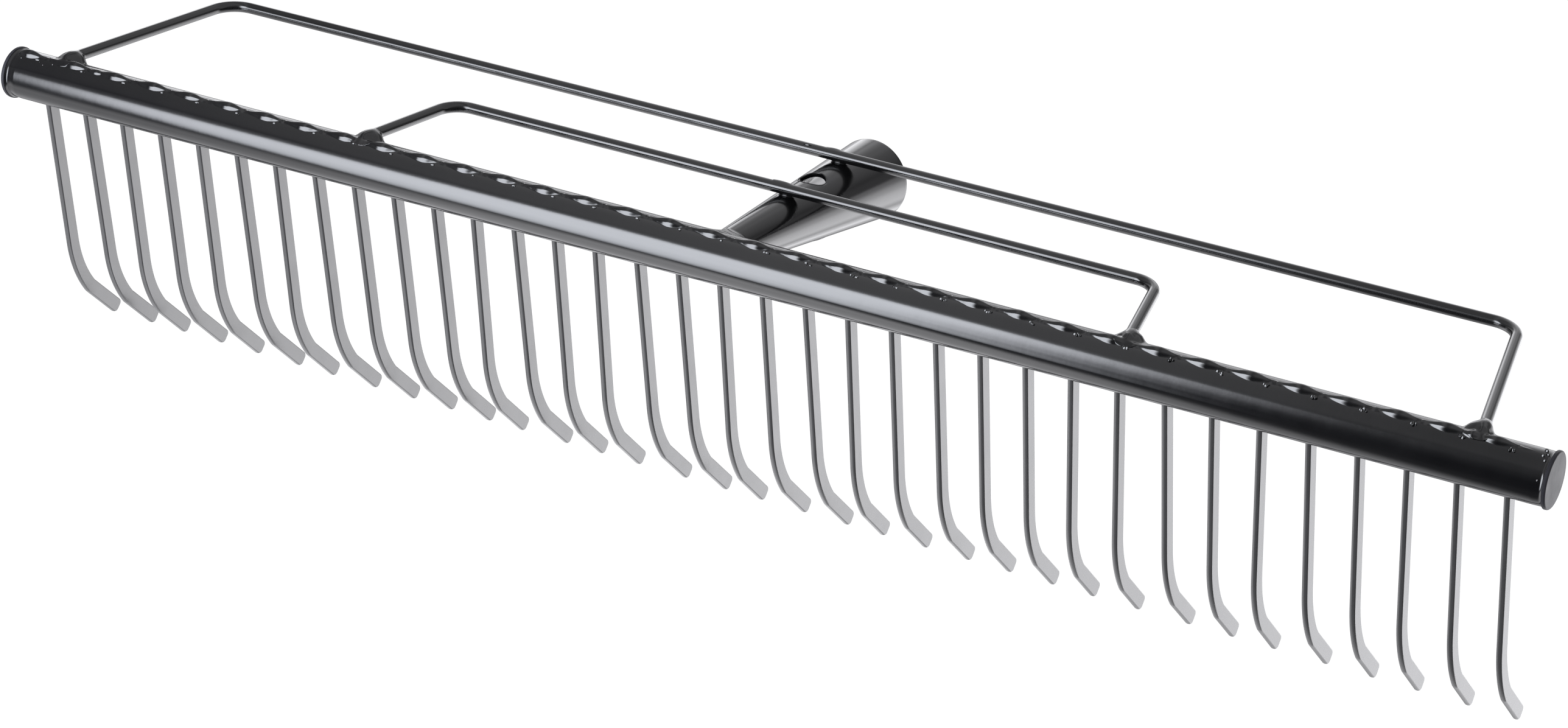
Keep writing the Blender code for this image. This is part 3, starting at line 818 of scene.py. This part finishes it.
def foot_weld(tag, side):
    path = paths[tag]
    foot, nxt = (path[0], path[3]) if side == "right" else (path[-1], path[-4])
    d = unit(nxt - foot)
    a, b = foot - d * 1.0, foot + d * 26.0
    fx = foot[0]
    base = np.array((fx, 9.0, 11.5))
    close = [L for L in lumps if L["x"] - L["left"] < fx + 9 and L["x"] + L["right"] > fx - 12]
    mounds = MOUNDS[tag, side]

    def f(p):
        wire = sd_line(p, a, b, WIRE_R - 0.05)
        tube = sd_tube(p, TUBE_R - 0.06)
        heap = sd_ball(p, np.array((fx, 0, 0)) + mounds[0][0], mounds[0][1])
        heap = smin(heap, sd_ball(p, np.array((fx, 0, 0)) + mounds[1][0], mounds[1][1]), 4.2)
        w = smin(wire, heap, 1.8)
        w = smin(w, tube, 2.6)
        run = None
        for L in close:
            q = sd_lump(p, dict(L, rho=L["rho"] + 0.03))
            run = q if run is None else smin(run, q, 0.7)
        crest = np.hypot(p[..., 1] - 0.2, p[..., 2] - 11.9) - ridge_radius(p[..., 0]) - 0.03
        run = crest if run is None else smin(run, crest, 1.0)
        w = smin(w, run, 0.6 + 1.3 * np.exp(-((p[..., 0] - fx) / 8.0) ** 2))
        keep = sd_ball(p, base + (-0.6, 1.0, 1.5), (13.2, 13.0, 12.0))
        body = np.maximum(w, keep)
        inner = np.minimum(np.minimum(wire, tube) + 1.0, heap + 1.6)
        return np.maximum(body, -inner)
    V, F, N = iso(f, base + (-18, -13, -12), base + (17, 16, 15), 0.42)
    piece("%s_bow_%s_foot_weld" % (tag, side), V, F, WELD_PAINT,
          ["%s_bow_%s_weld" % (tag, side)], N)


for tag in ("outer", "inner"):
    for side in ("left", "right"):
        foot_weld(tag, side)


# -------------------------------------------- welds where the bows cross it
def cross_weld(tag, b):
    t = b["y"] / AXIS[1]
    cx = SOCK_BASE[0] + AXIS[0] * t
    c = np.array((cx, b["y"], b["z"]))

    hump = (((-4.0, 1.7, 0.9), (5.0, 1.6, 1.7)) if tag == "outer" else ((-4.0, 1.4, 0.9), (7.2, 1.7, 2.0)))

    def f(p):
        wire = sd_line(p, c - (30, 0, 0), c + (30, 0, 0), WIRE_R - 0.05)
        sock_ = sd_socket(p, -0.05)
        w = smin(wire, sock_, 1.9)
        w = smin(w, sd_ball(p, c + hump[0], hump[1]), 1.8)
        keep = sd_ball(p, c + (-0.5, 0, -2.5), (12.5, 8.5, 7.5))
        body = np.maximum(w, keep)
        return np.maximum(body, -(np.minimum(wire, sock_) + 1.0))
    V, F, N = iso(f, c + (-14, -10, -11), c + (13, 10, 6), 0.4)
    if tag == "outer":
        # a run of paint that set on the wire, left of the crossing
        bv, bf = blob(np.array((0.0, 0.0, 0.0)), (2.7, 0.9, 1.0), rows=10, cols=18)
        bn = unit(bv / np.array((2.7, 0.9, 1.0)) ** 2)
        bv = bv + c + (-19.0, -0.9, 2.75)
        F = [tuple(q) for q in F] + [tuple(k + len(V) for k in q) for q in bf]
        V, N = np.concatenate([V, bv]), np.concatenate([N, bn])
    piece("%s_bow_socket_fillet" % tag, V, F, WELD_PAINT,
          ["%s_bow_socket_weld_front" % tag, "%s_bow_socket_weld_back" % tag], N)


cross_weld("outer", OUTER)
cross_weld("inner", INNER)


# ------------------------------------------------- weld of socket and tube
def root_weld():
    c = SOCK_BASE + AXIS * 12.0
    lx_, ly_ = np.array(lx), np.array(ly)

    def f(p):
        tube = sd_tube(p, TUBE_R - 0.05)
        so = sd_socket(p, -0.05)
        w = smin(tube, so, 4.6)
        q = p - SOCK_BASE
        ang = np.arctan2(q @ ly_, q @ lx_)
        ripple = 0.10 * np.sin(9 * ang + 0.6)
        near = np.exp(-((tube + so) / 3.4) ** 2)
        w = w - (0.3 + ripple) * near * 0.4
        keep = sd_ball(p, c + (0, 2.0, 0), (21.0, 13.0, 19.0))
        return np.maximum(np.maximum(w, keep), -(np.minimum(tube, so) + 1.0))
    V, F, N = iso(f, c + (-23, -13, -21), c + (23, 17, 21), 0.5)
    piece("socket_root_weld", V, F, WELD_PAINT, ["socket_tube_weld"], N)


root_weld()


# ----------------------------------------------------------------- studio
def row(p):
    return tuple((np.asarray(p, float) - MOUTH) * 0.001)


def ramp_1d(nodes, links, source, stops):
    """Piecewise smooth value over source; stops are (position, value)."""
    lo, hi = stops[0][0], stops[-1][0]
    mr = nodes.new("ShaderNodeMapRange")
    mr.inputs["From Min"].default_value = lo
    mr.inputs["From Max"].default_value = hi
    links.new(source, mr.inputs["Value"])
    cr = nodes.new("ShaderNodeValToRGB")
    cr.color_ramp.interpolation = 'EASE'
    el = cr.color_ramp.elements
    while len(el) < len(stops):
        el.new(0.5)
    top = max(v for _, v in stops)
    for e, (p, v) in zip(el, stops):
        e.position = (p - lo) / (hi - lo)
    for e, (p, v) in zip(el, stops):
        e.color = (v / top, v / top, v / top, 1)
    links.new(mr.outputs["Result"], cr.inputs["Fac"])
    return calc(nodes, links, 'MULTIPLY', cr.outputs["Color"], top)


def calc(nodes, links, how, a, b=None):
    m = nodes.new("ShaderNodeMath")
    m.operation = how
    for sock_in, val in zip(m.inputs, (a, b)):
        if isinstance(val, (int, float)):
            sock_in.default_value = val
        elif val is not None:
            links.new(val, sock_in)
    return m.outputs[0]


def flat(name, z, size, camera, light):
    me = bpy.data.meshes.new(name)
    me.from_pydata([row((-size, -size, z)), row((size, -size, z)), row((size, size, z)), row((-size, size, z))],
                   [], [(0, 1, 2, 3)])
    ob = bpy.data.objects.new(name, me)
    bpy.context.scene.collection.objects.link(ob)
    ob.visible_camera = camera
    ob.visible_glossy = light
    ob.visible_shadow = False
    return ob


# the floor the camera sees: plain, pale and evenly lit
floor = flat("floor", -171.3, 14000.0, True, False)
mat = bpy.data.materials.new("floor_white")
nt, nodes, links = nodes_of(mat)
out = nodes.new("ShaderNodeOutputMaterial")
tcn = nodes.new("ShaderNodeTexCoord")
nz = nodes.new("ShaderNodeTexNoise")
nz.inputs["Scale"].default_value = 3.0
links.new(tcn.outputs["Object"], nz.inputs["Vector"])
em = nodes.new("ShaderNodeEmission")
em.inputs["Color"].default_value = (1, 1, 1, 1)
links.new(calc(nodes, links, 'ADD', calc(nodes, links, 'MULTIPLY', nz.outputs["Fac"], 0.04), 1.04), em.inputs["Strength"])
links.new(em.outputs[0], out.inputs[0])
floor.data.materials.append(mat)

# the lit table as the gloss sees it
glow = flat("table_glow", -600.0, 9000.0, False, True)
mat = bpy.data.materials.new("table_light")
nt, nodes, links = nodes_of(mat)
out = nodes.new("ShaderNodeOutputMaterial")
geo = nodes.new("ShaderNodeNewGeometry")
sep = nodes.new("ShaderNodeSeparateXYZ")
links.new(geo.outputs["Position"], sep.inputs[0])
mx, my, mz = MOUTH * 0.001
PX = calc(nodes, links, 'ADD', sep.outputs["X"], mx)
PY = calc(nodes, links, 'ADD', sep.outputs["Y"], my)
by = ramp_1d(nodes, links, PY, [(-3.0, 0.3), (-1.7, 0.4), (-1.23, 1.0), (-0.9, 2.5), (-0.67, 3.2), (-0.37, 2.55), (-0.17, 2.2),
                                (0.0, 2.25), (0.17, 1.9), (0.375, 0.8), (0.65, 0.42), (1.0, 0.33), (1.35, 0.3), (1.8, 0.4),
                                (2.4, 0.65), (4.0, 1.1)])
bx = ramp_1d(nodes, links, PX, [(-1.5, 0.5), (-0.85, 0.5), (-0.68, 0.64), (-0.5, 1.0), (-0.1, 0.98), (-0.03, 0.82), (0.06, 0.62),
                                (0.16, 0.56), (0.25, 0.5), (0.9, 0.45), (1.5, 0.3), (2.4, 0.15)])
diag = calc(nodes, links, 'SUBTRACT', PX, calc(nodes, links, 'ADD', PY, 0.67))
dim = ramp_1d(nodes, links, diag, [(-0.36, 1.0), (-0.27, 0.88), (-0.17, 0.52), (-0.1, 0.3), (-0.04, 0.15), (0.07, 0.07), (0.5, 0.05)])
base = calc(nodes, links, 'MULTIPLY', calc(nodes, links, 'MULTIPLY', by, bx), dim)
em = nodes.new("ShaderNodeEmission")
em.inputs["Color"].default_value = (1.0, 1.0, 1.03, 1)
links.new(base, em.inputs["Strength"])
clear = nodes.new("ShaderNodeBsdfTransparent")
both = nodes.new("ShaderNodeAddShader")
links.new(em.outputs[0], both.inputs[0])
links.new(clear.outputs[0], both.inputs[1])
links.new(both.outputs[0], out.inputs[0])
glow.data.materials.append(mat)

# softbox: a tall diffuse panel in front and to the left
BOX_D, BOX_PHI = 1300.0, math.radians(20.0)
cy, cz = -BOX_D * math.cos(BOX_PHI), BOX_D * math.sin(BOX_PHI)
vy, vz = math.sin(BOX_PHI), math.cos(BOX_PHI)
u0, u1 = -1600.0, 60.0
v0, v1 = -BOX_D * math.tan(math.radians(50)), BOX_D * math.tan(math.radians(45))
bm_ = bpy.data.meshes.new("softbox")
bm_.from_pydata([row((u, cy + v * vy, cz + v * vz)) for u, v in ((u0, v0), (u1, v0), (u1, v1), (u0, v1))],
                [], [(0, 1, 2, 3)])
uv = bm_.uv_layers.new(name="panel")
for li, c in zip(range(4), ((0, 0), (1, 0), (1, 1), (0, 1))):
    uv.data[li].uv = c
box = bpy.data.objects.new("softbox", bm_)
bpy.context.scene.collection.objects.link(box)
box.visible_camera = False
box.visible_shadow = False
mat = bpy.data.materials.new("softbox_glow")
nt, nodes, links = nodes_of(mat)
out = nodes.new("ShaderNodeOutputMaterial")
tcn = nodes.new("ShaderNodeTexCoord")
sep = nodes.new("ShaderNodeSeparateXYZ")
links.new(tcn.outputs["UV"], sep.inputs[0])


def at_u(x):
    return (x - u0) / (u1 - u0)


def at_v(phi):
    """Height on the panel of a direction phi degrees round from the back."""
    return (BOX_D * math.tan(math.radians(160.0 - phi)) - v0) / (v1 - v0)


# the right edge leans: lower down it lies further left
low_v = ramp_1d(nodes, links, sep.outputs["Y"], [(0.0, 0.25), (at_v(200), 0.20), (at_v(187), 0.16), (at_v(172), 0.075),
                                                 (at_v(150), 0.0), (1.0, 0.0)])
lean_u = calc(nodes, links, 'ADD', sep.outputs["X"], calc(nodes, links, 'MULTIPLY', low_v, 0.62))
gr = ramp_1d(nodes, links, lean_u, [(0.0, 1.0), (at_u(-420), 1.0), (at_u(-330), 0.72), (at_u(-262), 0.45),
                                    (at_u(-195), 0.19), (at_u(-120), 0.05), (at_u(-60), 0.0), (1.0, 0.0)])
gl = ramp_1d(nodes, links, sep.outputs["X"], [(0.0, 0.0), (at_u(-1480), 0.0), (at_u(-1180), 0.9), (at_u(-900), 1.0), (1.0, 1.0)])
gu = calc(nodes, links, 'MULTIPLY', gr, gl)
to_left = ramp_1d(nodes, links, sep.outputs["X"], [(0.0, 1.0), (at_u(-1200), 0.9), (at_u(-1000), 0.6), (at_u(-850), 0.1), (at_u(-740), 0.0), (1.0, 0.0)])
v_top = calc(nodes, links, 'ADD', sep.outputs["Y"], calc(nodes, links, 'MULTIPLY', to_left, 0.151))
v_low = calc(nodes, links, 'ADD', sep.outputs["Y"], calc(nodes, links, 'SUBTRACT', calc(nodes, links, 'MULTIPLY', to_left, 0.02), 0.017))
g_top = ramp_1d(nodes, links, v_top, [(0.0, 1.0), (at_v(141), 1.0), (at_v(135), 0.8), (at_v(130), 0.16), (at_v(125), 0.04), (at_v(117), 0.0), (1.3, 0.0)])
g_low = ramp_1d(nodes, links, v_low, [(-0.1, 0.0), (at_v(207), 0.0), (at_v(202), 0.40), (at_v(196), 0.70), (at_v(186), 0.88),
                                      (at_v(170), 1.0), (1.1, 1.0)])
gv = calc(nodes, links, 'MULTIPLY', g_top, g_low)
geo = nodes.new("ShaderNodeNewGeometry")
em = nodes.new("ShaderNodeEmission")
em.inputs["Color"].default_value = (0.965, 1.0, 1.075, 1)
links.new(calc(nodes, links, 'MULTIPLY', calc(nodes, links, 'MULTIPLY', gu, gv), 13.0), em.inputs["Strength"])
clear = nodes.new("ShaderNodeBsdfTransparent")
both = nodes.new("ShaderNodeAddShader")
links.new(em.outputs[0], both.inputs[0])
links.new(clear.outputs[0], both.inputs[1])
links.new(both.outputs[0], out.inputs[0])
bm_.materials.append(mat)

# a net over the left end holds the ceiling back there
net = bpy.data.meshes.new("net")
net.from_pydata([row((-1800, -325, 400)), row((-430, -325, 400)), row((-430, 1600, 400)), row((-1800, 1600, 400))],
                [], [(0, 1, 2, 3)])
net_ob = bpy.data.objects.new("net", net)
bpy.context.scene.collection.objects.link(net_ob)
net_ob.visible_camera = False
net_ob.visible_shadow = False
mat = bpy.data.materials.new("net_weave")
nt, nodes, links = nodes_of(mat)
out = nodes.new("ShaderNodeOutputMaterial")
geo = nodes.new("ShaderNodeNewGeometry")
sep = nodes.new("ShaderNodeSeparateXYZ")
links.new(geo.outputs["Position"], sep.inputs[0])
clear = nodes.new("ShaderNodeBsdfTransparent")
PX = calc(nodes, links, 'ADD', sep.outputs["X"], mx)
links.new(ramp_1d(nodes, links, PX, [(-1.8, 0.5), (-0.72, 0.5), (-0.62, 0.7), (-0.47, 1.0), (-0.43, 1.0)]), clear.inputs["Color"])
links.new(clear.outputs[0], out.inputs[0])
net.materials.append(mat)

# room: soft ceiling, dark behind the camera, white backdrop for the camera
world = bpy.data.worlds.new("studio")
bpy.context.scene.world = world
world.use_nodes = True
nt = world.node_tree
nt.nodes.clear()
nodes, links = nt.nodes, nt.links
out = nodes.new("ShaderNodeOutputWorld")
tcn = nodes.new("ShaderNodeTexCoord")
sep = nodes.new("ShaderNodeSeparateXYZ")
links.new(tcn.outputs["Generated"], sep.inputs[0])
at = nodes.new("ShaderNodeMath")
at.operation = 'ARCTAN2'
links.new(sep.outputs["Z"], at.inputs[0])
links.new(sep.outputs["Y"], at.inputs[1])
DEG = math.pi / 180
sky = ramp_1d(nodes, links, at.outputs[0], [
    (-180 * DEG, 0.03), (-40 * DEG, 0.02), (-25 * DEG, 0.45), (-12 * DEG, 0.9), (-4 * DEG, 2.9), (10 * DEG, 3.3), (17 * DEG, 2.4), (30 * DEG, 1.4),
    (46 * DEG, 0.95), (70 * DEG, 0.92), (114 * DEG, 0.95), (128 * DEG, 0.6), (142 * DEG, 0.42), (158 * DEG, 0.18), (176 * DEG, 0.05), (180 * DEG, 0.04)])
side_on = ramp_1d(nodes, links, sep.outputs["X"], [(-1.0, 0.72), (-0.7, 0.72), (-0.61, 0.0), (-0.56, 0.0), (-0.5, 0.3), (-0.4, 0.45), (-0.3, 0.38), (-0.2, 0.45), (-0.1, 0.6), (0.0, 0.65), (0.18, 0.86), (1.0, 0.88)])
low_sky = ramp_1d(nodes, links, at.outputs[0], [(-180 * DEG, 1.0), (16 * DEG, 1.0), (44 * DEG, 0.0), (180 * DEG, 0.0)])
side_on = calc(nodes, links, 'SUBTRACT', 1.0, calc(nodes, links, 'MULTIPLY', side_on, low_sky))
# overhead the ceiling is brightest over the middle and falls off to both ends
across = ramp_1d(nodes, links, sep.outputs["X"], [(-1.0, 0.7), (-0.55, 0.66), (-0.51, 0.76), (-0.455, 1.12), (-0.405, 1.25), (-0.36, 1.03),
                                                  (-0.32, 0.96), (-0.30, 0.72), (-0.28, 0.55), (-0.2, 0.6), (-0.1, 0.8), (0.0, 1.0), (1.0, 1.0)])
across = calc(nodes, links, 'ADD', calc(nodes, links, 'MULTIPLY', across, calc(nodes, links, 'SUBTRACT', 1.0, low_sky)), low_sky)
far_left = ramp_1d(nodes, links, sep.outputs["X"], [(-1.0, 0.35), (-0.8, 0.35), (-0.66, 0.0), (1.0, 0.0)])
above = ramp_1d(nodes, links, sep.outputs["Z"], [(-1.0, 0.0), (-0.1, 0.0), (0.0, 1.0), (1.0, 1.0)])
far_left = calc(nodes, links, 'MULTIPLY', far_left, above)
# bright wall low behind and to the right
wall_x = ramp_1d(nodes, links, sep.outputs["X"], [(-0.26, 0.0), (-0.1, 0.9), (0.03, 2.6), (0.2, 2.2), (0.265, 1.7), (0.31, 2.1),
                                                  (0.36, 3.0), (0.43, 4.0), (0.6, 4.5), (0.8, 4.2), (1.0, 2.0)])
wall_y = ramp_1d(nodes, links, sep.outputs["Y"], [(0.1, 0.0), (0.42, 0.85), (0.55, 1.0), (1.0, 1.0)])
wall_z = ramp_1d(nodes, links, sep.outputs["Z"], [(-1.0, 0.6), (-0.8, 1.0), (-0.5, 1.0), (-0.33, 0.75), (-0.12, 0.28), (0.0, 0.0), (1.0, 0.0)])
wall = calc(nodes, links, 'MULTIPLY', calc(nodes, links, 'MULTIPLY', wall_x, wall_y), wall_z)
sky = calc(nodes, links, 'MULTIPLY', sky, across)
sky = calc(nodes, links, 'MAXIMUM', calc(nodes, links, 'MULTIPLY', sky, side_on), far_left)
sky = calc(nodes, links, 'ADD', sky, wall)
bg = nodes.new("ShaderNodeBackground")
bg.inputs["Color"].default_value = (1.0, 1.0, 1.03, 1)
links.new(sky, bg.inputs["Strength"])
bgc = nodes.new("ShaderNodeBackground")
bgc.inputs["Color"].default_value = (1, 1, 1, 1)
bgc.inputs["Strength"].default_value = 1.06
lp = nodes.new("ShaderNodeLightPath")
mix = nodes.new("ShaderNodeMixShader")
links.new(lp.outputs["Is Camera Ray"], mix.inputs[0])
links.new(bg.outputs[0], mix.inputs[1])
links.new(bgc.outputs[0], mix.inputs[2])
links.new(mix.outputs[0], out.inputs[0])

# ----------------------------------------------------------------- camera
AZ, EL, ROLL = -0.529174, 0.594013, -0.047490
fw = Vector((math.cos(EL) * math.sin(AZ), math.cos(EL) * math.cos(AZ), -math.sin(EL)))
right = fw.cross(Vector((0, 0, 1))).normalized()
up = right.cross(fw)
r2 = right * math.cos(ROLL) + up * math.sin(ROLL)
u2 = -right * math.sin(ROLL) + up * math.cos(ROLL)
cam_data = bpy.data.cameras.new("camera")
cam_data.sensor_width = 36.0
cam_data.lens = 7187.1237 * 36.0 / 2576.0
cam_data.clip_start, cam_data.clip_end = 0.01, 100.0
cam = bpy.data.objects.new("camera", cam_data)
bpy.context.scene.collection.objects.link(cam)
m = cam.matrix_world.copy()
m[0][0], m[1][0], m[2][0] = r2
m[0][1], m[1][1], m[2][1] = u2
m[0][2], m[1][2], m[2][2] = -fw
m[0][3], m[1][3], m[2][3] = row(np.array((38.962035, -64.304266, 48.118941)) * 25.4)
cam.matrix_world = m
bpy.context.scene.camera = cam

vs = bpy.context.scene.view_settings
vs.view_transform = 'Standard'
vs.look = 'None'
vs.exposure = 0.0
vs.gamma = 1.0
